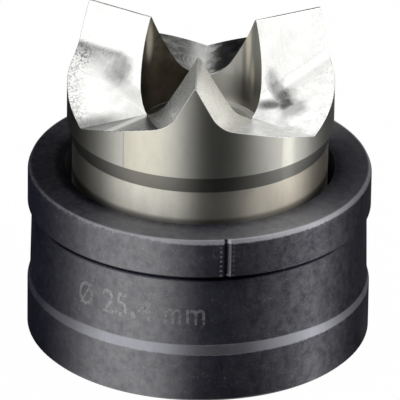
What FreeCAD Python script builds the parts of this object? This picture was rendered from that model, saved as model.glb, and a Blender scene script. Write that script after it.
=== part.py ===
import FreeCAD, Part
import math
import os

# Hole punch for sheet metal: a three-toothed punch standing in its round die.
# Millimetres. The origin is the centre of the die's base, +Z points up along the
# common axis, and the first tooth of the punch points along -Y.

# Punch: cutting end
cutting_diameter = 25.4
tooth_count = 3
tooth_depth = 7.5
tooth_flank_angle = 61.5
gullet_floor_angle = 19.0
gullet_root_radius = 3.0
tooth_land_width = 0.2
cutting_land_length = 1.7

# Punch: body below the cutting end
punch_length = 25.4
relief_taper_length = 1.7
guide_relief = 0.5
punch_base_chamfer = 0.4

# Draw-stud hole of the punch
stud_counterbore_diameter = 11.4
stud_counterbore_depth = 9.75
stud_thread_minor_diameter = 9.86
stud_thread_chamfer = 0.6

# Die: outside
die_height = 17.0
collar_diameter = 32.8
collar_height = 3.85
collar_edge_break_height = 0.45
collar_edge_break_width = 0.2
waist_top_diameter = 32.0
waist_bottom_diameter = 32.3
undercut_width = 0.35
undercut_depth = 0.15
flange_diameter = 32.8
flange_height = 5.0
flange_shoulder_height = 0.95
die_base_chamfer = 0.3

# Die: inside
shear_clearance = 0.17
die_land_length = 4.0
slug_chamber_relief = 0.4
slug_chamber_corner_radius = 0.8
die_floor_thickness = 5.5
die_stud_hole_diameter = 11.5
die_stud_hole_chamfer = 0.5

# Alignment mark cut down the collar
mark_width = 0.7
mark_depth = 0.4
mark_angle = -78.0

# Places along the axis that follow from the sizes above
punch_base_z = die_floor_thickness
tooth_tip_z = punch_base_z + punch_length
gullet_z = tooth_tip_z - tooth_depth
land_bottom_z = gullet_z - cutting_land_length
guide_top_z = land_bottom_z - relief_taper_length
counterbore_floor_z = tooth_tip_z - stud_counterbore_depth
collar_bottom_z = die_height - collar_height
waist_bottom_z = flange_height + flange_shoulder_height
land_end_z = die_height - die_land_length

cutting_radius = cutting_diameter / 2
guide_radius = cutting_radius - guide_relief
counterbore_radius = stud_counterbore_diameter / 2
thread_minor_radius = stud_thread_minor_diameter / 2
die_mouth_radius = cutting_radius + shear_clearance
slug_chamber_radius = die_mouth_radius + slug_chamber_relief
die_stud_hole_radius = die_stud_hole_diameter / 2


def turned(profile):
    """A solid of revolution about +Z from (radius, height) corners."""
    corners = [FreeCAD.Vector(radius, 0, height) for radius, height in profile]
    outline = Part.makePolygon(corners + corners[:1])
    return Part.Face(outline).revolve(FreeCAD.Vector(), FreeCAD.Vector(0, 0, 1), 360)


def half_space_above(point, normal, reach):
    """A block that fills the side of a plane to which the normal points."""
    block = Part.makeBox(2 * reach, 2 * reach, 2 * reach, FreeCAD.Vector(-reach, -reach, 0))
    block.Placement = FreeCAD.Placement(point, FreeCAD.Rotation(FreeCAD.Vector(0, 0, 1), normal))
    return block


def flank_plane(ridge_angle, side):
    """A tooth flank: it falls from the edge of the ridge's narrow land, and runs level along the ridge."""
    ridge = math.radians(ridge_angle)
    away = FreeCAD.Vector(-math.sin(ridge), math.cos(ridge), 0) * side
    point = away * (tooth_land_width / 2) + FreeCAD.Vector(0, 0, tooth_tip_z)
    slope = math.radians(tooth_flank_angle)
    return point, away * math.sin(slope) + FreeCAD.Vector(0, 0, math.cos(slope))


def floor_plane(gullet_angle, side):
    """One side of a gullet's shallow V floor, whose bottom line runs level outwards."""
    gullet = math.radians(gullet_angle)
    away = FreeCAD.Vector(-math.sin(gullet), math.cos(gullet), 0) * side
    slope = math.radians(gullet_floor_angle)
    normal = FreeCAD.Vector(0, 0, math.cos(slope)) - away * math.sin(slope)
    return FreeCAD.Vector(0, 0, gullet_z), normal


def gullet_cutter(gullet_angle):
    """The space milled out between two teeth, with a rounded root along each flank."""
    reach = 4 * cutting_diameter
    half_pitch = 180.0 / tooth_count
    planes = [
        flank_plane(gullet_angle - half_pitch, 1),
        flank_plane(gullet_angle + half_pitch, -1),
        floor_plane(gullet_angle, 1),
        floor_plane(gullet_angle, -1),
    ]
    rim = 1.5 * cutting_radius
    space = Part.makeCylinder(rim, 2 * tooth_depth, FreeCAD.Vector(0, 0, gullet_z - tooth_depth / 2))
    for point, normal in planes:
        space = space.common(half_space_above(point, normal, reach))
    flank_normals = [normal for point, normal in planes[:2]]
    floor_normals = [normal for point, normal in planes[2:]]
    roots = [edge for edge in space.Edges if joins(space, edge, flank_normals, floor_normals)]
    return space.makeFillet(gullet_root_radius, roots)


def joins(shape, edge, normals_a, normals_b):
    """Whether an edge lies between a flat face of each set of normals."""
    def flat_on(face, normals):
        if not isinstance(face.Surface, Part.Plane):
            return False
        return any(abs(abs(face.Surface.Axis.dot(normal)) - 1) < 1e-6 for normal in normals)

    faces = shape.ancestorsOfType(edge, Part.Face)
    return any(flat_on(face, normals_a) for face in faces) and any(flat_on(face, normals_b) for face in faces)


def make_punch():
    blank = turned([
        (thread_minor_radius + stud_thread_chamfer, punch_base_z),
        (guide_radius - punch_base_chamfer, punch_base_z),
        (guide_radius, punch_base_z + punch_base_chamfer),
        (guide_radius, guide_top_z),
        (cutting_radius, land_bottom_z),
        (cutting_radius, tooth_tip_z),
        (counterbore_radius, tooth_tip_z),
        (counterbore_radius, counterbore_floor_z),
        (thread_minor_radius, counterbore_floor_z),
        (thread_minor_radius, punch_base_z + stud_thread_chamfer),
    ])
    first_gullet = -90 + 180.0 / tooth_count
    for index in range(tooth_count):
        blank = blank.cut(gullet_cutter(first_gullet + index * 360.0 / tooth_count))
    return blank


def alignment_mark():
    """The cutter of the V-shaped scribe line down the collar."""
    outer = collar_diameter / 2
    overrun = mark_depth / 2
    widening = (mark_depth + overrun) / mark_depth
    corners = [
        FreeCAD.Vector(outer - mark_depth, 0, 0),
        FreeCAD.Vector(outer + overrun, -mark_width / 2 * widening, 0),
        FreeCAD.Vector(outer + overrun, mark_width / 2 * widening, 0),
    ]
    section = Part.Face(Part.makePolygon(corners + corners[:1]))
    wedge = section.extrude(FreeCAD.Vector(0, 0, collar_height + undercut_width))
    wedge.translate(FreeCAD.Vector(0, 0, collar_bottom_z))
    wedge.rotate(FreeCAD.Vector(), FreeCAD.Vector(0, 0, 1), mark_angle)
    return wedge


def make_die():
    collar_radius = collar_diameter / 2
    flange_radius = flange_diameter / 2
    waist_top_radius = waist_top_diameter / 2
    waist_bottom_radius = waist_bottom_diameter / 2
    undercut_radius = waist_top_radius - undercut_depth
    body = turned([
        (die_stud_hole_radius + die_stud_hole_chamfer, 0),
        (flange_radius - die_base_chamfer, 0),
        (flange_radius, die_base_chamfer),
        (flange_radius, flange_height),
        (waist_bottom_radius, waist_bottom_z),
        (waist_top_radius, collar_bottom_z - undercut_width),
        (undercut_radius, collar_bottom_z - undercut_width),
        (undercut_radius, collar_bottom_z),
        (collar_radius, collar_bottom_z),
        (collar_radius, die_height - collar_edge_break_height),
        (collar_radius - collar_edge_break_width, die_height),
        (die_mouth_radius, die_height),
        (die_mouth_radius, land_end_z),
        (slug_chamber_radius, land_end_z - slug_chamber_relief),
        (slug_chamber_radius, die_floor_thickness),
        (die_stud_hole_radius, die_floor_thickness),
        (die_stud_hole_radius, die_stud_hole_chamfer),
    ])
    corner = [edge for edge in body.Edges if is_chamber_corner(edge)]
    body = body.makeFillet(slug_chamber_corner_radius, corner)
    return body.cut(alignment_mark())


def is_chamber_corner(edge):
    """Whether an edge is the circle where the slug chamber's wall meets its floor."""
    if not isinstance(edge.Curve, Part.Circle):
        return False
    at_floor = abs(edge.Curve.Center.z - die_floor_thickness) < 1e-6
    return at_floor and abs(edge.Curve.Radius - slug_chamber_radius) < 1e-6


os.makedirs("parts", exist_ok=True)
pieces = {"punch": make_punch(), "die": make_die()}
for name, solid in pieces.items():
    if not solid.isValid() or len(solid.Solids) != 1:
        raise RuntimeError(name + " is not one valid solid")
    solid.exportStep("parts/" + name + ".step")
    box = solid.BoundBox
    print(name, "volume", round(solid.Volume, 2), "box", round(box.XLength, 3), round(box.YLength, 3),
          round(box.ZMin, 3), round(box.ZMax, 3), "faces", len(solid.Faces))
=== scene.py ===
import math

import bmesh
import bpy
from mathutils import Matrix, Vector


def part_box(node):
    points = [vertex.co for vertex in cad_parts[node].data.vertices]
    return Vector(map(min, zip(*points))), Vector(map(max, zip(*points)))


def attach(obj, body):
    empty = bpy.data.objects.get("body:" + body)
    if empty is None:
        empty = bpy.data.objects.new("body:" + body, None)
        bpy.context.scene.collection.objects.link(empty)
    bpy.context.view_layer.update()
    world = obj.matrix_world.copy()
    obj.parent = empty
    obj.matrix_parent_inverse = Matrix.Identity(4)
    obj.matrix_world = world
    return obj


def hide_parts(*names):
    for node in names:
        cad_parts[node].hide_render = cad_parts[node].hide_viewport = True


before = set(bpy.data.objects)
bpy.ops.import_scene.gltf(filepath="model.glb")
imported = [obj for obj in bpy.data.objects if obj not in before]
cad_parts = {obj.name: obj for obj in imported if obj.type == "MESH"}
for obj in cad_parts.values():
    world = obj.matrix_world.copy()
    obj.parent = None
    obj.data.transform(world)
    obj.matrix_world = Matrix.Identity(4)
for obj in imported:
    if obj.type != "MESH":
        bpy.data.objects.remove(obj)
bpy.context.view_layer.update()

# Die
# The lower tool: one turned steel ring on a floor, blackened after turning. Its collar has the
# round cutting mouth and a scribed mark, and its flange stands on the bench.

# Sizes are in millimetres, and each finished mesh is brought to metres.
MM = 0.001
die_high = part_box("die")[1]
punch_low, punch_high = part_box("punch")
die_radius = die_high.x / MM
die_height = die_high.z / MM
cutting_radius = punch_high.x / MM
punch_base = punch_low.z / MM
tip_height = punch_high.z / MM

lathe_steps = 192
edge_rounding = 0.08
fine_rounding = 0.04
weld_distance = 1e-5
loose_weld_distance = 1e-4
shear_clearance = 0.17
mouth_radius = cutting_radius + shear_clearance
mouth_land_length = 4.0
mouth_land_end = die_height - mouth_land_length
chamber_relief = 0.4
chamber_radius = mouth_radius + chamber_relief
chamber_corner = 0.8
stud_hole_radius = 5.75
stud_hole_chamfer = 0.5
collar_height = 3.85
collar_bottom = die_height - collar_height
collar_break_height = 0.45
collar_break_width = 0.2
undercut_width = 0.35
undercut_radius = 15.85
waist_top_radius = 16.0
waist_bottom_radius = 16.15
waist_bottom = 5.95
flange_height = 5.0
base_chamfer = 0.3
mark_half_width = 0.35
mark_bottom = -0.12
mark_depth = 0.4
mark_angle = math.radians(-78.0)
mark_across = Vector((-math.sin(mark_angle), math.cos(mark_angle), 0))


def lathe(corners):
    """A turned mesh about Z from its outline's corners, each (radius, height, rounding)."""
    mesh = bmesh.new()
    points = [mesh.verts.new((radius, 0, height)) for radius, height, rounding in corners]
    for start, end in zip(points, points[1:] + points[:1]):
        mesh.edges.new((start, end))
    for point, (radius, height, rounding) in zip(points, corners):
        if rounding:
            bmesh.ops.bevel(mesh, geom=[point], affect="VERTICES", offset=rounding,
                            offset_type="OFFSET", segments=3, profile=0.5, material=-1)
    bmesh.ops.spin(mesh, geom=mesh.verts[:] + mesh.edges[:], cent=(0, 0, 0), axis=(0, 0, 1),
                   angle=2 * math.pi, steps=lathe_steps, use_merge=True)
    bmesh.ops.remove_doubles(mesh, verts=mesh.verts, dist=weld_distance)
    bmesh.ops.recalc_face_normals(mesh, faces=mesh.faces)
    return mesh


def piece_from(mesh, name, sharp_angle=12):
    """The mesh as an object in metres, smooth but for edges above the angle."""
    bmesh.ops.scale(mesh, vec=(MM, MM, MM), verts=mesh.verts)
    data = bpy.data.meshes.new(name)
    mesh.to_mesh(data)
    mesh.free()
    data.shade_smooth()
    data.set_sharp_from_angle(angle=math.radians(sharp_angle))
    piece = bpy.data.objects.new(name, data)
    bpy.context.scene.collection.objects.link(piece)
    return piece


def split(mesh, point, normal, clear_inner=False):
    """Cuts the whole mesh along a plane, and gives what bmesh says about the cut."""
    everything = mesh.verts[:] + mesh.edges[:] + mesh.faces[:]
    return bmesh.ops.bisect_plane(mesh, geom=everything, dist=weld_distance, plane_co=point,
                                  plane_no=normal, clear_inner=clear_inner)


def scribe_mark(mesh):
    """A V groove down the collar, steeper on its left: the wall is split along it and drawn in."""
    for offset in (-mark_half_width, mark_bottom, mark_half_width):
        split(mesh, mark_across * offset, mark_across)
    outward = Vector((math.cos(mark_angle), math.sin(mark_angle), 0))
    for point in mesh.verts:
        sideways = point.co.dot(mark_across)
        width = mark_half_width + (mark_bottom if sideways < mark_bottom else -mark_bottom)
        on_collar = point.co.z > collar_bottom - 0.01 and point.co.dot(outward) > undercut_radius + 0.2
        if on_collar and abs(sideways) < mark_half_width:
            point.co -= outward * mark_depth * (1 - abs(sideways - mark_bottom) / width)


die_mesh = lathe([
    (stud_hole_radius + stud_hole_chamfer, 0, fine_rounding),
    (die_radius - base_chamfer, 0, fine_rounding),
    (die_radius, base_chamfer, fine_rounding),
    (die_radius, flange_height, edge_rounding),
    (waist_bottom_radius, waist_bottom, fine_rounding),
    (waist_top_radius, collar_bottom - undercut_width, 0),
    (undercut_radius, collar_bottom - undercut_width, 0),
    (undercut_radius, collar_bottom, 0),
    (die_radius, collar_bottom, edge_rounding),
    (die_radius, die_height - collar_break_height, edge_rounding),
    (die_radius - collar_break_width, die_height, edge_rounding),
    (mouth_radius, die_height, fine_rounding),
    (mouth_radius, mouth_land_end, 0),
    (chamber_radius, mouth_land_end - chamber_relief, 0),
    (chamber_radius, punch_base, chamber_corner),
    (stud_hole_radius, punch_base, fine_rounding),
    (stud_hole_radius, stud_hole_chamfer, fine_rounding),
])
scribe_mark(die_mesh)
die = piece_from(die_mesh, "die_body")


class Channel:
    """An output in a finish's node tree, on which arithmetic adds Math nodes."""

    def __init__(self, tree, socket=None):
        self.tree = tree
        self.socket = socket

    def node(self, kind, settings=None, sockets=None, output=0):
        """Adds a node, makes its settings, then fills or links the named sockets."""
        made = self.tree.nodes.new(kind)
        for name, value in (settings or {}).items():
            if name == "stops":
                ramp = made.color_ramp.elements
                while len(ramp) < len(value):
                    ramp.new(0.5)
                for stop, (position, colour) in zip(ramp, value):
                    stop.position = position
                    stop.color = (*colour, 1)
            else:
                setattr(made, name, value)
        for name, value in (sockets or {}).items():
            if isinstance(value, Channel):
                self.tree.links.new(value.socket, made.inputs[name])
            else:
                made.inputs[name].default_value = value
        return Channel(self.tree, made.outputs[output] if made.outputs else None)

    def math(self, operation, *values):
        return self.node("ShaderNodeMath", {"operation": operation}, dict(enumerate(values)))

    def __add__(self, other):
        return self.math("ADD", self, other)

    __radd__ = __add__

    def __sub__(self, other):
        return self.math("SUBTRACT", self, other)

    def __rsub__(self, other):
        return self.math("SUBTRACT", other, self)

    def __mul__(self, other):
        return self.math("MULTIPLY", self, other)

    __rmul__ = __mul__

    def __truediv__(self, other):
        return self.math("DIVIDE", self, other)

    def __rtruediv__(self, other):
        return self.math("DIVIDE", other, self)

    def __neg__(self):
        return 0 - self

    def __abs__(self):
        return self.math("ABSOLUTE", self)

    def sine(self):
        return self.math("SINE", self)

    def step(self, start, end):
        """0 below start and 1 above end, with a smooth rise between."""
        return self.node("ShaderNodeMapRange", {"interpolation_type": "SMOOTHSTEP"},
                         {"Value": self, "From Min": start, "From Max": end})

    def between(self, rise_start, rise_end, fall_start, fall_end):
        """1 from the end of a smooth rise to the start of a smooth fall, and 0 outside them."""
        return self.step(rise_start, rise_end) * (1 - self.step(fall_start, fall_end))

    def mix(self, first, second):
        """The first colour where this is 0, the second where it is 1."""
        colours = {0: self, 6: first, 7: second}
        return self.node("ShaderNodeMix", {"data_type": "RGBA"}, colours, output=2)

    def noise(self, vector, scale, detail=3.0, roughness=0.55):
        return self.node("ShaderNodeTexNoise", None,
                         {"Vector": vector, "Scale": scale, "Detail": detail, "Roughness": roughness})

    def vector(self, operation, *values):
        """A vector worked out from vectors, or a vector's length."""
        output = 1 if operation == "LENGTH" else 0
        return self.node("ShaderNodeVectorMath", {"operation": operation}, dict(enumerate(values)), output)

    def axes(self, vector):
        """The X, Y and Z of a vector."""
        outputs = self.node("ShaderNodeSeparateXYZ", None, {"Vector": vector}).socket.node.outputs
        return [Channel(self.tree, outputs[axis]) for axis in "XYZ"]

    def spot(self, vector, centre, reach):
        """1 round a place, falling smoothly to 0 at its reach along each axis."""
        shares = self.vector("DIVIDE", self.vector("SUBTRACT", vector, centre), reach)
        return 1 - self.vector("LENGTH", shares).step(0.2, 1.0)

    def larger(self, *others):
        """The largest of this and the others."""
        result = self
        for other in others:
            result = result.math("MAXIMUM", result, other)
        return result

    def wandering(self, vector, scale, reach):
        """The vector pushed about by noise, so that what is drawn with it gets ragged edges."""
        push = self.node("ShaderNodeTexNoise", None,
                         {"Vector": vector, "Scale": scale, "Detail": 3.0}, output=1)
        centred = self.vector("SUBTRACT", push, (0.5, 0.5, 0.5))
        return self.vector("MULTIPLY_ADD", centred, (reach, reach, reach), vector)

    def stretched(self, vector, scale, turn=(0, 0, 0)):
        """The vector turned and scaled, to draw a pattern out along one direction."""
        return self.node("ShaderNodeMapping", None,
                         {"Vector": vector, "Scale": scale, "Rotation": turn})


class Finish:
    """A material, with the place on the piece in millimetres and how far it faces up."""

    def __init__(self, name, constants):
        self.material = bpy.data.materials.new(name)
        self.material.use_nodes = True
        tree = self.material.node_tree
        self.shader = tree.nodes["Principled BSDF"]
        for socket, value in constants.items():
            self.shader.inputs[socket].default_value = value
        self.start = Channel(tree)
        place = self.start.node("ShaderNodeTexCoord", output=3)
        self.place = self.start.node("ShaderNodeVectorMath", {"operation": "SCALE"},
                                     {"Vector": place, "Scale": 1 / MM})
        self.x, self.y, self.z = self.start.axes(self.place)
        facing = self.start.node("ShaderNodeTexCoord", output=1)
        self.tilt = self.start.axes(facing)[2]
        flat = self.start.node("ShaderNodeCombineXYZ", None, {"X": self.x, "Y": self.y})
        self.radius = self.start.vector("LENGTH", flat)

    def wear(self, channels, bump=None, depth=0.0):
        """Links what varies over the surface, and a height in millimetres as a bump."""
        tree = self.material.node_tree
        for socket, value in channels.items():
            tree.links.new(value.socket, self.shader.inputs[socket])
        if bump:
            normal = self.start.node("ShaderNodeBump", None,
                                     {"Height": bump, "Distance": depth * MM, "Strength": 1.0})
            tree.links.new(normal.socket, self.shader.inputs["Normal"])
        return self.material


oxide_dark = (0.003, 0.0035, 0.019, 1)
oxide_light = (0.008, 0.009, 0.023, 1)
worn_steel = (0.36, 0.36, 0.40, 1)
dust_and_painted_light_grey = (0.16, 0.16, 0.165, 1)
# The near black that painted shade and shadow darken towards.
painted_shade_dark = (0.007, 0.007, 0.018, 1)


def black_oxide():
    """Blue-black oxide over turned steel: mottled, dusty, rubbed grey on its edges, with painted shade and
    painted light.
    """
    finish = Finish("black_oxide", {"IOR": 2.62, "Anisotropic": 0.9, "Anisotropic Rotation": 0.25})
    start = finish.start
    mottle = start.noise(finish.place, 0.55, 5.0, 0.6).step(0.35, 0.7)
    grain = start.noise(finish.place, 6.0, 4.0, 0.7)
    colour = mottle.mix(oxide_dark, oxide_light)
    on_top = finish.z.step(die_height - 0.06, die_height - 0.02)
    blotches = start.noise(start.stretched(finish.place, (1, 1, 0.6)), 0.7, 6.0, 0.7).step(0.35, 0.75)
    smudges = start.noise(finish.place, 1.5, 6.0, 0.75).step(0.5, 0.72)
    fine = start.noise(finish.place, 1.3, 5.0, 0.7).step(0.36, 0.68)
    # Painted shade on the die's sides, mottled, and deepening towards the right.
    side_painted_shade = (finish.x.step(2.0, 9.0) * 0.42 + blotches * 0.2 + fine * 0.25) * (1 - on_top)
    sideways = abs(finish.x)
    # Painted shade on the top face: towards its left and right ends, in its middle and next to the mouth,
    # mottled.
    top_sides = (-finish.x).step(7, 11) * 0.6 + finish.x.step(11, 14) * 0.3
    middle = (1 - sideways.step(2.5, 6.0)) * 0.1
    by_mouth = (1 - finish.radius.step(mouth_radius, mouth_radius + 1.4)) * 0.5
    top_painted_shade = on_top * (top_sides + fine * 0.2 + blotches * 0.1 + middle + by_mouth)
    across_mark = abs(finish.x * mark_across.x + finish.y * mark_across.y)
    at_front = 1 - finish.y.step(-2, -1)
    # Painted shade in the scribe mark's groove.
    in_mark = (1 - across_mark.step(0.30, 0.36)) * at_front * (1 - on_top)
    in_mark = in_mark * finish.z.step(collar_bottom - 0.1, collar_bottom)
    # Painted shadow of the collar: a dark band on the waist just under it and on its lower edge, fading at
    # the far sides.
    undercut_painted_shadow = finish.z.between(collar_bottom - 0.75, collar_bottom - 0.4,
                                   collar_bottom + 0.02, collar_bottom + 0.2)
    undercut_painted_shadow = undercut_painted_shadow * (1 - sideways.step(12.6, 14.8))
    # All this painted shade and shadow darkens the oxide towards near black.
    painted_shade = side_painted_shade.larger(top_painted_shade, undercut_painted_shadow * 0.95, in_mark * 0.6)
    colour = painted_shade.mix(colour, painted_shade_dark)
    specks = start.noise(finish.place, 6.5, 2.0).step(0.64, 0.70)
    # Painted light: the top's outer rim is lightened towards the dust grey, from just left of the front round
    # to the right.
    rim_painted_light = on_top * finish.radius.step(13.8, 16.2) * finish.x.step(-4, 1) * 0.25
    colour = (smudges * 0.04 + fine * 0.03).larger(specks * 0.8, rim_painted_light).mix(colour, dust_and_painted_light_grey)
    rubbed = start.noise(start.stretched(finish.place, (1, 1, 0.35)), 2.6, 4.0, 0.65)
    chips = start.noise(finish.place, 3.6, 3.0, 0.6) - 0.5
    on_left = (-finish.x).step(1, 6)
    edge_start = die_height - collar_break_height + 0.03 + on_left * 0.20
    collar_edge = (finish.z + chips * (0.25 + on_left * 0.45) - edge_start).step(-0.05, 0.15)
    near_rim = finish.radius.step(die_radius - collar_break_width - 0.25,
                                  die_radius - collar_break_width - 0.02)
    shoulder = (finish.z + rubbed * 0.25).step(flange_height + 0.02, flange_height + 0.2)
    below_waist = 1 - (finish.z + sideways.step(9, 15) * 0.25).step(waist_bottom - 0.1, waist_bottom + 0.05)
    # The collar's rubbed edge is wear, but its strength goes by side as painted light: stronger towards the
    # right and weaker at the far sides.
    wear_and_painted_light = 0.3 + finish.x.step(-9, 4) * 0.35 + rubbed * 0.35 - sideways.step(11.5, 16) * 0.3
    worn_collar = collar_edge * near_rim * wear_and_painted_light
    # Painted shade: the rubbed shoulder is kept dark at the far left and the far right.
    painted_shade_at_sides = (-finish.x).step(10.5, 14.8) * 0.9 + finish.x.step(13, 16.2) * 0.6
    worn_shoulder = shoulder * below_waist * (0.75 + rubbed * 0.25) * (1 - painted_shade_at_sides)
    worn = worn_collar.larger(worn_shoulder)
    colour = worn.mix(colour, worn_steel)
    from_dots = abs(across_mark - mark_half_width - 0.25)
    dots = (finish.z * 12.8).sine().step(0.0, 0.9) * (1 - finish.x.step(3.3, 3.5) * 0.5)
    dots = dots * (1 - from_dots.step(0.04, 0.16)) * at_front
    dots = dots * finish.z.between(collar_bottom + 0.1, collar_bottom + 0.2,
                                   die_height - 0.7, die_height - 0.6)
    colour = dots.mix(colour, dust_and_painted_light_grey)
    metal = worn_shoulder.larger(worn_collar * 0.4, painted_shade * (1 - worn))
    roughness = 0.41 + mottle * 0.06 + smudges * 0.06 + (grain - 0.5) * 0.1
    rings = start.noise(start.stretched(finish.place, (0.1, 0.1, 9.0)), 1.0, 3.0)
    return finish.wear({"Base Color": colour, "Roughness": roughness, "Metallic": metal},
                       bump=rings * 0.5 + grain * 0.5, depth=0.003)


die.data.materials.append(black_oxide())
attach(die, "die")
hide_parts("die")


# Size mark
# The hole size, scratched through the oxide on the waist with an engraving pen, so that the
# bare steel shows light. It is a thin raised skin wrapped round the waist.

# Each sign with its start and width along the waist, from the left end of the mark.
mark_signs = [("Ø", 0.0, 1.70), ("2", 2.81, 1.34), ("5", 4.27, 1.26), (",", 5.84, 0.55),
              ("4", 6.55, 1.50), ("m", 9.15, 1.60), ("m", 11.20, 1.80)]
mark_cap_height = 2.4
font_cap_height = 0.70
mark_unit = mark_cap_height / font_cap_height
comma_stretch = 1.6
strips_per_sign = 8
mark_baseline = 8.08
mark_start_angle = math.radians(-131.5)
mark_thickness = 0.012
mark_stroke = 0.008


def sign_mesh(sign):
    """One flat letter in the font's own units, drawn up to a slab."""
    curve = bpy.data.curves.new("sign", "FONT")
    curve.body = sign
    curve.resolution_u = 4
    curve.offset = mark_stroke
    curve.extrude = 0.5
    sketch = bpy.data.objects.new("sign", curve)
    bpy.context.scene.collection.objects.link(sketch)
    bpy.context.view_layer.update()
    data = bpy.data.meshes.new_from_object(sketch.evaluated_get(bpy.context.evaluated_depsgraph_get()))
    mesh = bmesh.new()
    mesh.from_mesh(data)
    bpy.data.objects.remove(sketch)
    bpy.data.curves.remove(curve)
    bpy.data.meshes.remove(data)
    return mesh


def waist_radius(height):
    """The radius of the slightly tapered waist at a height."""
    share = (height - waist_bottom) / (collar_bottom - undercut_width - waist_bottom)
    return waist_bottom_radius + (waist_top_radius - waist_bottom_radius) * share


mark_mesh = bmesh.new()
for sign, start, width in mark_signs:
    letter = sign_mesh(sign)
    bmesh.ops.remove_doubles(letter, verts=letter.verts, dist=loose_weld_distance)
    left = min(point.co.x for point in letter.verts)
    right = max(point.co.x for point in letter.verts)
    for point in letter.verts:
        point.co.x = start + (point.co.x - left) / (right - left) * width
    for strip in range(1, strips_per_sign):
        split(letter, (start + width * strip / strips_per_sign, 0, 0), (1, 0, 0))
    stretch = comma_stretch if sign == "," else 1.0
    for point in letter.verts:
        height = mark_baseline + point.co.y * mark_unit * stretch
        angle = mark_start_angle + point.co.x / waist_top_radius
        radius = waist_radius(height) + point.co.z * 2 * mark_thickness
        point.co = (radius * math.cos(angle), radius * math.sin(angle), height)
    wrapped = bpy.data.meshes.new("letter")
    letter.to_mesh(wrapped)
    letter.free()
    mark_mesh.from_mesh(wrapped)
    bpy.data.meshes.remove(wrapped)
bmesh.ops.recalc_face_normals(mark_mesh, faces=mark_mesh.faces)
size_mark = piece_from(mark_mesh, "size_mark", 30)


skipped_steel = (0.18, 0.18, 0.19, 1)
scratched_steel = (0.40, 0.40, 0.41, 1)


def engraved_steel():
    """Bare steel at the bottom of an engraved stroke, patchy where the pen skipped."""
    finish = Finish("engraved_steel", {"Metallic": 1.0})
    # The scratched steel shows most over the 2 and the 5, and half as much towards the ends of the mark.
    share_along_mark = 0.5 + finish.x.step(-9.0, -7.2) * 0.5 - finish.x.step(-6.5, -4.5) * 0.5
    skips = finish.start.noise(finish.place, 3.2, 3.0).step(0.35, 0.6) * share_along_mark
    return finish.wear({"Base Color": skips.mix(skipped_steel, scratched_steel),
                        "Roughness": 0.5 + skips * 0.2})


size_mark.data.materials.append(engraved_steel())
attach(size_mark, "die")


# Punch
# The upper tool: hardened steel, turned all over, then milled into three teeth whose flanks
# shear the sheet. A taper below the cutting land leads to the guide that enters the die.

land_bottom = 21.7
guide_top = 20.0
guide_relief = 0.5
guide_radius = cutting_radius - guide_relief
punch_base_chamfer = 0.4
counterbore_radius = 5.7
counterbore_depth = 9.75
counterbore_floor = tip_height - counterbore_depth
thread_major_radius = 5.56
thread_minor_radius = 4.93
thread_lip = 0.35
thread_chamfer = 0.6
thread_recess_bottom = punch_base + 0.9
tooth_count = 3
tooth_pitch = 2 * math.pi / tooth_count
tooth_depth = 7.5
flank_slope = math.radians(61.5)
floor_slope = math.radians(19.0)
root_radius = 3.0
half_land = 0.1
tooth_edge_rounding = 0.05
crest_angle = math.radians(25)
crest_zone_bottom = guide_top + 2
gullet_height = tip_height - tooth_depth
first_gullet_angle = math.radians(-90 + 180 / tooth_count)
gullet_block_size = 60


def level_direction(angle, side):
    """The level direction at right angles to an angle about Z, to its left or right side."""
    return Vector((-math.sin(angle), math.cos(angle), 0)) * side


def gullet_block(angle):
    """The space milled away between two teeth, with rounded roots."""
    mesh = bmesh.new()
    bmesh.ops.create_cube(mesh, size=gullet_block_size)
    bmesh.ops.translate(mesh, vec=(0, 0, tip_height), verts=mesh.verts)
    planes = []
    for turn, side in ((-tooth_pitch / 2, 1), (tooth_pitch / 2, -1)):
        away = level_direction(angle + turn, side)
        normal = away * math.sin(flank_slope) + Vector((0, 0, math.cos(flank_slope)))
        planes.append((away * half_land + Vector((0, 0, tip_height)), normal))
    for side in (1, -1):
        away = level_direction(angle, side)
        normal = Vector((0, 0, math.cos(floor_slope))) - away * math.sin(floor_slope)
        planes.append((Vector((0, 0, gullet_height)), normal))
    for point, normal in planes:
        cut = split(mesh, point, normal, clear_inner=True)
        rim = [item for item in cut["geom_cut"] if isinstance(item, bmesh.types.BMEdge)]
        bmesh.ops.edgenet_fill(mesh, edges=rim)
    bmesh.ops.recalc_face_normals(mesh, faces=mesh.faces)
    steep = -math.cos(flank_slope)
    shallow = -math.cos(floor_slope)
    roots = []
    for edge in mesh.edges:
        heights = sorted(face.normal.z for face in edge.link_faces)
        if abs(heights[0] - shallow) < 0.01 and abs(heights[-1] - steep) < 0.01:
            roots.append(edge)
    reach = root_radius * math.tan((flank_slope - floor_slope) / 2)
    bmesh.ops.bevel(mesh, geom=roots, affect="EDGES", offset=reach, offset_type="OFFSET",
                    segments=10, profile=0.5, material=-1)
    return mesh


def loose_object(mesh, name):
    """The mesh as an object in millimetres, for the cutting."""
    data = bpy.data.meshes.new(name)
    mesh.to_mesh(data)
    mesh.free()
    loose = bpy.data.objects.new(name, data)
    bpy.context.scene.collection.objects.link(loose)
    return loose


def cut_away(blank, cutters):
    """The blank's mesh with each cutter's volume taken out of it."""
    body = loose_object(blank, "blank")
    for cutter in cutters:
        tool = loose_object(cutter, "cutter")
        cut = body.modifiers.new("cut", "BOOLEAN")
        cut.object = tool
        cut.operation = "DIFFERENCE"
        cut.solver = "EXACT"
    bpy.context.view_layer.update()
    depsgraph = bpy.context.evaluated_depsgraph_get()
    data = bpy.data.meshes.new_from_object(body.evaluated_get(depsgraph))
    mesh = bmesh.new()
    mesh.from_mesh(data)
    for cut in list(body.modifiers):
        bpy.data.objects.remove(cut.object)
    bpy.data.objects.remove(body)
    bpy.data.meshes.remove(data)
    return mesh


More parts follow.
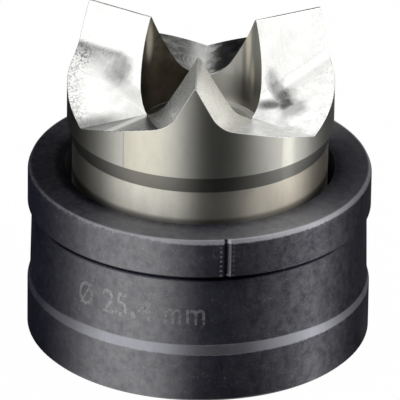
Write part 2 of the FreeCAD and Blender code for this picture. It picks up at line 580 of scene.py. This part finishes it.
punch_mesh = cut_away(lathe([
    (thread_minor_radius + thread_chamfer, punch_base, fine_rounding),
    (guide_radius - punch_base_chamfer, punch_base, fine_rounding),
    (guide_radius, punch_base + punch_base_chamfer, fine_rounding),
    (guide_radius, guide_top, 0),
    (cutting_radius, land_bottom, 0),
    (cutting_radius, tip_height, 0),
    (counterbore_radius, tip_height, 0),
    (counterbore_radius, counterbore_floor, fine_rounding),
    (thread_minor_radius, counterbore_floor, fine_rounding),
    (thread_minor_radius, counterbore_floor - thread_lip, 0),
    (thread_major_radius, counterbore_floor - 2 * thread_lip, 0),
    (thread_major_radius, thread_recess_bottom, 0),
    (thread_minor_radius, punch_base + thread_chamfer, 0),
]), [gullet_block(first_gullet_angle + index * tooth_pitch) for index in range(tooth_count)])
bmesh.ops.remove_doubles(punch_mesh, verts=punch_mesh.verts, dist=loose_weld_distance)
crest_edges = [edge for edge in punch_mesh.edges if len(edge.link_faces) == 2
               and edge.calc_face_angle() > crest_angle
               and min(point.co.z for point in edge.verts) > crest_zone_bottom]
bmesh.ops.bevel(punch_mesh, geom=crest_edges, affect="EDGES", offset=tooth_edge_rounding,
                offset_type="OFFSET", segments=2, profile=0.5, clamp_overlap=False, material=-1)

# Flanks and floors carry the place on their own sheet, along the ridge or gullet and down
# from the tips, so that the milling lines follow them.
turned, milled, bored, floored = range(4)
upright_limit = 0.3
milling = punch_mesh.loops.layers.uv.new("milling")
for face in punch_mesh.faces:
    middle = face.calc_center_median()
    outward = Vector((middle.x, middle.y, 0))
    facing_axis = face.normal.dot(outward) < 0 and abs(face.normal.z) < upright_limit
    if facing_axis and outward.length < counterbore_radius + 0.1:
        face.material_index = bored
    elif face.normal.z > upright_limit and middle.z < counterbore_floor + 0.1:
        face.material_index = floored
    elif face.normal.z > upright_limit:
        face.material_index = milled
    else:
        face.material_index = turned
    if face.material_index in (milled, floored):
        on_floor = face.normal.z > math.cos(floor_slope) - 0.02
        if on_floor:
            face.material_index = floored
        pitches = (math.atan2(middle.y, middle.x) + math.pi / 2) / tooth_pitch
        run = math.floor(pitches) + 0.5 if on_floor else round(pitches)
        run_angle = -math.pi / 2 + run * tooth_pitch
        along = Vector((math.cos(run_angle), math.sin(run_angle), 0))
        for loop in face.loops:
            place = loop.vert.co
            loop[milling].uv = (place.dot(along), tip_height - place.z)

punch = piece_from(punch_mesh, "punch_body")
evened = punch.modifiers.new("evened_normals", "WEIGHTED_NORMAL")
evened.keep_sharp = True

cool_steel = (0.63, 0.625, 0.575, 1)
warm_reflection_steel = (0.69, 0.665, 0.56, 1)
glare_steel = (0.98, 0.95, 0.84, 1)
guide_steel = (0.87, 0.85, 0.755, 1)
guide_brown = (0.74, 0.68, 0.57, 1)
turned_dark = (0.40, 0.39, 0.35, 1)
painted_dark_steel = (0.10, 0.097, 0.09, 1)
speck_dark = (0.2, 0.19, 0.17, 1)


def turned_finish():
    """Ground cylinder: fine rings round it, so that lights stand on it as upright bands. Some reflections and
    shade are painted.
    """
    finish = Finish("turned_steel", {"Metallic": 1.0, "Anisotropic": 0.95, "Anisotropic Rotation": 0.25})
    start = finish.start
    tarnish = start.noise(start.stretched(finish.place, (1, 1, 0.4)), 0.8, 4.0).step(0.3, 0.75)
    specks = start.noise(finish.place, 7.0, 2.0).step(0.72, 0.76)
    # Painted shade on the guide where it goes into the die's mouth.
    mouth_painted_shade = finish.z.between(die_height - 1.0, die_height - 0.4, die_height - 0.1, die_height + 0.4)
    on_taper = finish.z.between(guide_top, guide_top + 0.04, land_bottom - 0.04, land_bottom)
    on_guide = 1 - finish.z.step(guide_top - 0.05, guide_top)
    cloudy = start.noise(start.stretched(finish.place, (1, 1, 2.5)), 1.6, 5.0, 0.65)
    front = 1 - finish.y.step(-2, 0)
    # Painted reflections on the front of the cutting land: a warm band and a bright glare band.
    warm_painted_reflection = finish.x.between(-6.74, -6.66, -4.0, -0.5) * front
    glare = finish.x.between(8.0, 8.35, 8.9, 9.5) * front
    colour = warm_painted_reflection.mix(cool_steel, warm_reflection_steel)
    colour = (glare * 0.55).mix(colour, glare_steel)
    colour = on_guide.mix(colour, finish.x.step(0, 9).mix(guide_steel, guide_brown))
    shaded = on_guide * (-finish.x).step(9, 11.5) * 0.4
    colour = (tarnish * 0.2 + cloudy * 0.2).larger(shaded).mix(colour, turned_dark)
    colour = (specks * 0.5).mix(colour, speck_dark)
    # Painted dark reflection on the taper, with the painted shade at the mouth.
    colour = (on_taper * 0.68).larger(mouth_painted_shade * 0.65).mix(colour, painted_dark_steel)
    on_seam = 1 - abs(finish.x + 6.72).step(0.01, 0.09)
    seam = on_seam * front * finish.z.step(land_bottom, land_bottom + 0.05)
    colour = (seam * 0.45).mix(colour, speck_dark)
    rings = start.noise(start.stretched(finish.place, (0.02, 0.02, 12.0)), 1.0, 4.0)
    roughness = 0.43 + (rings - 0.5) * 0.12 + on_guide * 0.06
    return finish.wear({"Base Color": colour, "Roughness": roughness}, bump=rings, depth=0.002)


milled_steel = (0.86, 0.86, 0.84, 1)
milled_dark = (0.55, 0.55, 0.54, 1)
reflection_and_cloud_black = (0.07, 0.07, 0.072, 1)
cream_steel = (0.95, 0.93, 0.84, 1)
painted_light_steel = (0.98, 0.98, 0.96, 1)
pit_and_shade_grey = (0.16, 0.16, 0.155, 1)
painted_highlight_steel = (0.95, 0.94, 0.90, 1)

# The bottom lines of the two front gullets run 30 degrees forward of the X axis.
valley_slope = 0.577


def sheet_of(start):
    """Where a point lies on its milled face: along the ridge or the gullet, and below the tips."""
    place = start.node("ShaderNodeUVMap", {"uv_map": "milling"})
    along, drop = start.axes(place)[:2]
    return place, along, drop


def root_painted_reflection(finish):
    """Painted dark reflections at the roots of the two front gullets."""
    start = finish.start
    place = start.wandering(finish.place, 1.1, 1.3)

    def dark_patches(spots):
        shares = [start.spot(place, centre, reach) * strength for centre, reach, strength in spots]
        return shares[0].larger(*shares[1:])

    left = dark_patches([((-7.9, 1.2, 26.4), (2.0, 2.6, 2.2), 0.62), ((-7.4, 1.0, 26.0), (1.3, 2.2, 1.9), 0.62)])
    plume = dark_patches([((9.0, -2.2, 24.3), (1.9, 2.0, 1.2), 0.55), ((6.8, 0.6, 26.0), (1.0, 1.3, 1.6), 0.5),
                   ((7.2, 0.1, 25.2), (1.3, 1.5, 1.7), 0.72),
                   ((7.8, -0.5, 24.7), (1.5, 1.6, 1.5), 0.85), ((8.2, -1.5, 24.3), (1.5, 1.7, 1.4), 0.95),
                   ((8.6, -2.6, 24.0), (1.5, 1.5, 1.1), 0.5)])
    crisp_side = (finish.x + finish.y * 0.94).step(6.1, 6.3).larger((-finish.y).step(0.9, 1.5))
    plume = plume * crisp_side
    strip = start.spot(finish.place, (6.7, -1.5, 24.2), (2.3, 0.9, 1.0)) * 0.85
    return left.larger(plume, strip)


def milled_finish():
    """Milled tooth flanks: bright, with painted dark reflections at the roots, painted shade by a floor, and
    fine lines that run down them.
    """
    finish = Finish("milled_steel", {"Anisotropic": 0.3})
    start = finish.start
    sheet, along, drop = sheet_of(start)
    streaks = start.noise(start.stretched(sheet, (4.5, 0.5, 1)), 1.0, 4.0, 0.6)
    lines = start.noise(start.stretched(sheet, (9.0, 0.3, 1)), 1.0, 3.0, 0.7)
    grain = start.noise(finish.place, 5.0, 4.0, 0.7)
    patches = start.noise(finish.place, 0.5, 3.0).step(0.45, 0.7)
    colour = (patches * 0.4 * streaks).mix(milled_steel, milled_dark)
    at_front = 1 - finish.y.step(-4, -3)
    front_right = finish.x.between(0.2, 0.5, 5.2, 5.6) * at_front
    front_left = finish.x.between(-4.5, -1.5, -0.2, 0.1) * at_front
    matt = (front_right * (0.42 + finish.x.step(0.8, 2.5) * 0.2)).larger(front_left * 0.25)
    colour = front_right.mix(colour, cream_steel)
    clouds = start.noise(finish.place, 1.4, 5.0, 0.65).step(0.4, 0.7)
    colour = (front_right * clouds * 0.3).mix(colour, milled_dark)
    # Painted shade on the right tooth's flank where it turns into the floor, near the bore.
    right_side = finish.x.step(4.6, 5.6) * finish.y.step(-4.6, -3.6)
    painted_shade_near_floor = finish.tilt.step(0.72, 0.95) * right_side * (1 - finish.radius.step(8.0, 10.0))
    colour = (painted_shade_near_floor * (0.1 + streaks * 0.5)).mix(colour, milled_dark)
    below_flat = drop.step(3.2, 3.75)
    left_side = 1 - finish.x.step(-4, -3)
    # Painted dark reflection: a band across the left tooth's flank a little below the tips, fading downwards.
    left_painted_reflection = below_flat * (1 - drop.step(3.6, 5.2) * 0.9) * (1 - drop.step(4.8, 5.6))
    left_painted_reflection = left_painted_reflection * along.step(6.9, 7.9) * left_side * (1 - finish.tilt.step(0.7, 0.93))
    under_ridge = (1 - left_side).larger(below_flat)
    # The painted dark reflections, streaked along the milling lines.
    dark_patches = (left_painted_reflection * (0.3 + grain * 0.75)).larger(root_painted_reflection(finish) * under_ridge)
    dark_patches = dark_patches * (0.5 + lines)
    colour = dark_patches.math("MINIMUM", dark_patches, 1.0).mix(colour, reflection_and_cloud_black)
    pits = start.noise(finish.place, 3.8, 3.0, 0.7).step(0.48, 0.60) * finish.radius.step(10.2, 11.9)
    colour = (pits * (0.12 + left_side * below_flat * 0.75)).mix(colour, pit_and_shade_grey)
    roughness = 0.28 + ((streaks - 0.5) * 0.12 + (grain - 0.5) * 0.1) * (1 - front_right * 0.7)
    return finish.wear({"Base Color": colour, "Roughness": roughness, "Metallic": 1 - matt},
                       bump=(streaks * 0.6 + grain * 0.4) * (1 - front_right * 0.85), depth=0.004)


def floor_finish():
    """Gullet floors and the shoulder in the hole: duller than the flanks, pitted near the rim, with painted
    light, shade and reflections.
    """
    finish = Finish("gullet_floor_steel", {})
    start = finish.start
    drop = sheet_of(start)[2]
    grain = start.noise(finish.place, 5.0, 4.0, 0.7)
    cloudy = start.noise(finish.place, 0.9, 5.0, 0.65).step(0.35, 0.65)
    front = 1 - finish.y.step(2.5, 4.0)
    back = 1 - front
    past_valley = abs(finish.x) * -valley_slope - finish.y
    near_side = front * past_valley.step(0.0, 0.15)
    left = 1 - finish.x.step(-0.5, 0.5)
    colour = (cloudy * 0.4).mix(milled_steel, milled_dark)
    far_side = front * (1 - near_side)
    # Painted shade along the valleys of the front gullets' floors.
    valley_painted_shade = drop.step(6.85, 7.4) * far_side * (0.35 + finish.radius.step(7.5, 10.5) * 0.65)
    by_tooth = finish.x.step(-7.2, -5.4) * 0.25
    root_reflection = root_painted_reflection(finish)
    # Painted shade over the near half of the left front gullet's floor, with the valley shade and the painted
    # dark reflections at the roots.
    floor_painted_shade = (near_side * (0.15 + left * (0.6 + by_tooth))).larger(valley_painted_shade * (0.2 + left * 0.65), root_reflection)
    waver = finish.x + (cloudy - 0.5) * 0.7 + (grain - 0.5) * 1.8
    # Painted shade on the back gullet's floor: mottled on its left and near black on its right.
    back_left = back * (1 - waver.step(-2.2, -0.6))
    back_right = back * waver.step(0.1, 1.9)
    back_middle = back - back_left.larger(back_right)
    floor_painted_shade = floor_painted_shade.larger(back_left * (0.25 + cloudy * 0.6), back_right * 0.85)
    colour = floor_painted_shade.mix(colour, pit_and_shade_grey)
    colour = (back_right * (0.9 - cloudy * 0.5)).mix(colour, painted_shade_dark)
    # Painted light: the right front gullet's floor is made white, with painted shade on its far half, deepest
    # by the valley.
    near_right = near_side * (1 - left)
    far_right = far_side * (1 - left)
    colour = near_right.larger(far_right).mix(colour, painted_light_steel)
    far_right_painted_shade = far_right * (past_valley.step(-2.2, 0.2) * 0.35 + 0.35) * (0.5 + cloudy)
    colour = far_right_painted_shade.mix(colour, milled_dark)
    # Dark clouds on its near half, and the painted dark reflection from the roots on its far half.
    colour = (near_right * cloudy * 0.3).larger(root_reflection * far_right).mix(colour, reflection_and_cloud_black)
    # A lighter streak across the near half of the left front gullet's floor.
    from_light_streak = abs(finish.x * 0.911 - finish.y * 0.412 + 3.40)
    light_streak = (1 - from_light_streak.step(0.15, 0.9)) * near_side * left
    colour = (light_streak * 0.95).mix(colour, milled_steel)
    pits = start.noise(finish.place, 11.0, 2.0).step(0.56, 0.64) * finish.radius.step(9.5, 12.4)
    coarse_pits = start.noise(finish.place, 3.8, 3.0, 0.7).step(0.44, 0.60) * finish.radius.step(10.4, 12.2)
    coarse_pits = coarse_pits * far_side * left
    colour = (pits * 0.6).larger(coarse_pits * 0.6).mix(colour, pit_and_shade_grey)
    glints = start.noise(finish.place, 5.0, 2.0).step(0.66, 0.70) * (near_side * left).larger(back_left)
    colour = (glints * 0.9).mix(colour, milled_steel)
    arc_radius = start.vector("LENGTH", start.vector("SUBTRACT", finish.place, (-0.3, 8.2, 24.0)))
    arcs = (arc_radius * 15.0).sine().step(-0.6, 1.0)
    arcs = arcs * start.spot(finish.place, (-1.7, 7.7, 24.0), (1.5, 2.6, 1.5))
    colour = (arcs * 0.6).mix(colour, milled_steel)
    # Painted highlight on the right half of the shoulder in the hole, and painted shade on its left half.
    on_shoulder = 1 - finish.z.step(counterbore_floor + 0.1, counterbore_floor + 0.3)
    shoulder_right = on_shoulder * finish.x.step(0.5, 2.5)
    shoulder_left = on_shoulder * (1 - finish.x.step(0.5, 2.5))
    colour = shoulder_right.mix(colour, painted_highlight_steel)
    colour = shoulder_left.mix(colour, pit_and_shade_grey)
    roughness = 0.34 + (grain - 0.5) * 0.15 + back_middle * 0.25
    dull_share = (shoulder_right * 0.8).larger(near_right * 0.6)
    return finish.wear({"Base Color": colour, "Roughness": roughness, "Metallic": 1 - dull_share},
                       bump=grain, depth=0.003)


bore_stain = (0.10, 0.083, 0.062, 1)
bore_brown = (0.14, 0.12, 0.09, 1)
bore_brown_light = (0.24, 0.205, 0.155, 1)
bore_painted_light = (0.94, 0.93, 0.84, 1)
bore_shade = (0.15, 0.14, 0.11, 1)
gold_reflection_steel = (0.95, 0.88, 0.72, 1)
dark_reflection_brown = (0.2, 0.18, 0.15, 1)


def bored_finish():
    """The stud's clearance hole: drilled and reamed, with fine rings, brown and blotched, with painted light
    on its right and painted shade and reflections.
    """
    finish = Finish("bored_steel", {"Anisotropic": 0.7, "Anisotropic Rotation": 0.25})
    start = finish.start
    rings = start.noise(start.stretched(finish.place, (0.05, 0.05, 10.0)), 1.0, 3.0)
    dark_patches = start.noise(finish.place, 0.7, 3.0).step(0.3, 0.7)
    colour = finish.z.step(23.5, 29.0).mix(bore_brown, bore_brown_light)
    colour = dark_patches.mix(colour, bore_stain)
    # Painted light on the right of the hole, which is also made less metallic so that it shows brighter.
    painted_light_side = finish.x.step(-1.5, 0.5)
    bright_share = painted_light_side * (1 - finish.x.step(1.5, 4.4) * (0.75 - finish.z.step(23.6, 25.4) * 0.7))
    colour = painted_light_side.mix(colour, bore_painted_light)
    edge_shade = finish.x.step(3.5, 5.1) * 0.85
    deep_shade = finish.x.step(1.8, 4.4) * (1 - finish.z.step(21.8, 25.6)) * 0.85
    above_shoulder = finish.z.step(counterbore_floor - 0.1, counterbore_floor)
    shade = edge_shade.larger(deep_shade) * above_shoulder
    colour = shade.mix(colour, bore_shade)
    # Painted reflections: a gold stripe on the left, two on the right, and a dark stripe beside them.
    gold_reflection_stripe = (start.spot(finish.place, (-5.1, 2.6, 28.8), (0.75, 1.0, 3.2)) * 0.8).larger(
        start.spot(finish.place, (4.3, 3.7, 28.0), (0.6, 0.7, 4.5)),
        start.spot(finish.place, (4.75, 3.15, 24.9), (0.45, 0.7, 2.6)) * 0.6)
    colour = gold_reflection_stripe.mix(colour, gold_reflection_steel)
    dark_reflection_stripe = start.spot(finish.place, (3.9, 4.15, 25.0), (0.45, 0.5, 6.0))
    colour = (dark_reflection_stripe * 0.5).mix(colour, dark_reflection_brown)
    gleam = start.spot(finish.place, (2.2, 5.2, 24.7), (1.8, 1.2, 1.7))
    gleam = gleam.larger(painted_light_side - above_shoulder)
    return finish.wear({"Base Color": colour, "Roughness": 0.30 + rings * 0.1,
                        "Metallic": 1 - (bright_share * 0.7).larger(gleam) - gold_reflection_stripe * 0.3},
                       bump=rings, depth=0.004)


for finish in (turned_finish(), milled_finish(), bored_finish(), floor_finish()):
    punch.data.materials.append(finish)
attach(punch, "punch")
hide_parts("punch")


# Stud thread
# The thread that takes the draw stud, 20 turns to the inch. It runs as one ridge up the hole
# below the shoulder, and lifts with the punch.

thread_pitch = 1.27
thread_steps = 36
thread_bottom = punch_base + 0.75
thread_top = counterbore_floor - 1.6 * thread_lip
thread_foot_radius = thread_major_radius + 0.05
crest_half_width = 0.12
root_half_width = 0.52


def thread_ridge():
    """A tapered ridge swept up the hole along its helix."""
    mesh = bmesh.new()
    outline = [(thread_foot_radius, -root_half_width), (thread_minor_radius, -crest_half_width),
               (thread_minor_radius, crest_half_width), (thread_foot_radius, root_half_width)]
    lift = thread_bottom + root_half_width
    section = mesh.faces.new([mesh.verts.new((radius, 0, lift + rise)) for radius, rise in outline])
    turns = (thread_top - thread_bottom - 2 * root_half_width) / thread_pitch
    steps = round(turns * thread_steps)
    bmesh.ops.spin(mesh, geom=section.verts[:] + section.edges[:] + [section], cent=(0, 0, 0),
                   axis=(0, 0, 1), dvec=(0, 0, thread_pitch / thread_steps),
                   angle=2 * math.pi * steps / thread_steps, steps=steps)
    open_edges = [edge for edge in mesh.edges if edge.is_boundary]
    bmesh.ops.holes_fill(mesh, edges=open_edges, sides=4)
    bmesh.ops.recalc_face_normals(mesh, faces=mesh.faces)
    return mesh


stud_thread = piece_from(thread_ridge(), "stud_thread", 30)
stud_thread.data.materials.append(punch.data.materials[bored])
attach(stud_thread, "punch")


# Bench and light
# A sheet of white paper under four soft boxes, at the left front, at the right, behind and high
# above on the right. Grey curtains that only the steel reflects hang round the bench.

# Bearings run in degrees from the camera round to the right, and the camera itself stands
# at this angle about Z.
camera_turn = math.radians(2.49)


def seen_directly(start):
    """1 for rays that come straight from the camera, or by way of polished metal or glass."""
    camera_ray, glossy_ray, passed_ray = (start.node("ShaderNodeLightPath", output=name) for name in (
        "Is Camera Ray", "Is Glossy Ray", "Is Transmission Ray"))
    return camera_ray.larger(glossy_ray, passed_ray)


paper_white = (1, 1, 1, 1)
paper_grey = (0.9, 0.9, 0.9, 1)
paper_glow_share = 0.985


def paper():
    """Paper that the camera sees as white with a little shadow, but lit as it is in the stud's hole."""
    material = bpy.data.materials.new("paper")
    material.use_nodes = True
    material.node_tree.nodes.clear()
    start = Channel(material.node_tree)
    lit = start.node("ShaderNodeBsdfDiffuse", None, {"Color": paper_grey})
    white = start.node("ShaderNodeEmission", None, {"Color": paper_white, "Strength": 1.0})
    place = start.node("ShaderNodeTexCoord", output=3)
    distance = start.vector("LENGTH", place)
    in_the_open = start.math("GREATER_THAN", distance, stud_hole_radius * MM)
    shown = start.node("ShaderNodeMixShader", None,
                       {0: seen_directly(start) * in_the_open * paper_glow_share, 1: lit, 2: white})
    start.node("ShaderNodeOutputMaterial", None, {"Surface": shown})
    material.cycles.emission_sampling = "NONE"
    return material


paper_half_size = 3000
floor_mesh = bmesh.new()
bmesh.ops.create_grid(floor_mesh, x_segments=1, y_segments=1, size=paper_half_size)
floor = piece_from(floor_mesh, "floor")
floor.data.materials.append(paper())

# Greys of the curtain round the bench, by bearing.
curtain_greys = [(-180, 0.01), (-130, 0.01), (-110, 0.09), (-90, 0.45), (-76, 0.98), (-60, 1.42),
                 (-44, 1.42), (-30, 1.20), (-16, 0.55), (0, 0.04), (16, 0.01), (30, 0.01), (44, 0.07),
                 (60, 0.38), (76, 1.00), (84, 2.10), (92, 1.05), (110, 0.34), (130, 0.07), (145, 0.03),
                 (155, 0.12), (170, 0.12), (180, 0.01)]
# Each curtain from one bearing to another, its lower and upper edge in degrees above level
# as seen from the tool, and its share of the full brightness.
curtain_sheets = [(-115, -20, 0, 12, 1.0), (-115, -20, 12, 46, 0.35),
                  (-20, 45, 0, 68, 1.0),
                  (45, 115, 0, 12, 1.0), (45, 115, 12, 46, 0.45),
                  (115, 150, 0, 68, 1.0), (150, 210, 0, 40, 1.0), (210, 245, 0, 68, 1.0)]
curtain_distance = 1500
bench_cloth_height = 0.05


def curtain(share, bend=0.0):
    """Cloth whose grey goes by its bearing, at a share of the full brightness.

    On the bench the stripes bend round the tool, by a part of its radius in millimetres.
    """
    material = bpy.data.materials.new("curtain")
    material.use_nodes = True
    material.node_tree.nodes.clear()
    start = Channel(material.node_tree)
    place = start.node("ShaderNodeTexCoord", output=3)
    turned_place = start.stretched(place, (1, 1, 1), (0, 0, -camera_turn))
    across, away = start.axes(turned_place)[:2]
    distance = start.vector("LENGTH", place)
    straight = 1 - (bend * MM / 2) / distance if bend else 1.0
    bearing = start.math("ARCTAN2", across, -away) / (2 * math.pi) / straight + 0.5
    stops = [((degrees + 180) / 360, (grey, grey, grey)) for degrees, grey in curtain_greys]
    grey = start.node("ShaderNodeValToRGB", {"stops": stops}, {"Fac": bearing})
    glow = start.node("ShaderNodeEmission", None, {"Color": grey, "Strength": share})
    start.node("ShaderNodeOutputMaterial", None, {"Surface": glow})
    material.cycles.emission_sampling = "NONE"
    return material


def hang(mesh, name, share, bend=0.0):
    """Hangs a sheet round the bench that shows only in reflections on the steel."""
    cloth = piece_from(mesh, name)
    cloth.data.materials.append(curtain(share, bend))
    cloth.visible_camera = False
    cloth.visible_diffuse = False
    cloth.visible_shadow = False
    cloth.visible_transmission = False


def spun_sheet(ends, start, sweep):
    """A sheet swept about Z from a line between two (radius, height) ends."""
    mesh = bmesh.new()
    first, second = (mesh.verts.new((radius, 0, height)) for radius, height in ends)
    bmesh.ops.rotate(mesh, cent=(0, 0, 0), verts=[first, second],
                     matrix=Matrix.Rotation(camera_turn + math.radians(start - 90), 3, "Z"))
    line = mesh.edges.new((first, second))
    bmesh.ops.spin(mesh, geom=[first, second, line], cent=(0, 0, 0), axis=(0, 0, 1),
                   angle=math.radians(sweep), steps=64, use_merge=sweep == 360)
    return mesh


for first, last, low, high, share in curtain_sheets:
    edges = [(curtain_distance, curtain_distance * math.tan(math.radians(edge))) for edge in (low, high)]
    hang(spun_sheet(edges, first, last - first), "curtain", share)
bench_edges = [(die_radius, bench_cloth_height), (curtain_distance, bench_cloth_height)]
hang(spun_sheet(bench_edges, 0, 360), "bench_cloth", 1.0, die_radius)

room_grey = (0.5, 0.5, 0.5, 1)
world = bpy.data.worlds.new("studio")
bpy.context.scene.world = world
world.use_nodes = True
world.node_tree.nodes.clear()
sky = Channel(world.node_tree)
room = sky.node("ShaderNodeBackground", None, {"Color": room_grey, "Strength": 1.0})
backdrop = sky.node("ShaderNodeBackground", None, {"Color": paper_white, "Strength": 1.0})
seen = sky.node("ShaderNodeMixShader", None, {0: seen_directly(sky), 1: room, 2: backdrop})
sky.node("ShaderNodeOutputWorld", None, {"Surface": seen})
world.cycles.sampling_method = "NONE"


lamp_distance = 600.0
lamp_aim_height = 0.018


def lamp(name, bearing, elevation, width, height, radiance):
    """A soft box that faces the tool, as bright as white paper in full light times its radiance."""
    data = bpy.data.lights.new(name, "AREA")
    data.shape = "RECTANGLE"
    data.size = width * MM
    data.size_y = height * MM
    data.energy = radiance * math.pi * data.size * data.size_y
    box = bpy.data.objects.new(name, data)
    turn = Matrix.Rotation(camera_turn + math.radians(bearing), 4, "Z")
    tilt = Matrix.Rotation(math.radians(90 - elevation), 4, "X")
    aim = Matrix.Translation((0, 0, lamp_aim_height))
    box.matrix_world = aim @ turn @ tilt @ Matrix.Translation((0, 0, lamp_distance * MM))
    bpy.context.scene.collection.objects.link(box)


lamp("left_soft_box", -50, 28, 720, 400, 0.9)
lamp("right_soft_box", 76, 28, 660, 400, 1.15)
lamp("back_soft_box", 180, 52, 420, 250, 1.0)
lamp("top_soft_box", 92, 61, 460, 310, 1.0)

camera_elevation = math.radians(26.745)
camera_roll = math.radians(0.823)
camera_distance = 0.700
camera_aim_height = 0.013088
camera_aim_shift = 0.000065
camera_data = bpy.data.cameras.new("camera")
camera_data.lens = 659.5
camera_data.sensor_width = 36
camera_data.clip_start = 0.02
camera_data.clip_end = 50
camera = bpy.data.objects.new("camera", camera_data)
aim = Matrix.Translation((0, 0, camera_aim_height)) @ Matrix.Rotation(camera_turn, 4, "Z")
aim = aim @ Matrix.Translation((camera_aim_shift, 0, 0))
aim = aim @ Matrix.Rotation(math.pi / 2 - camera_elevation, 4, "X")
camera.matrix_world = aim @ Matrix.Rotation(camera_roll, 4, "Z") @ Matrix.Translation((0, 0, camera_distance))
bpy.context.scene.collection.objects.link(camera)
bpy.context.scene.camera = camera
bpy.context.scene.view_settings.view_transform = "Standard"
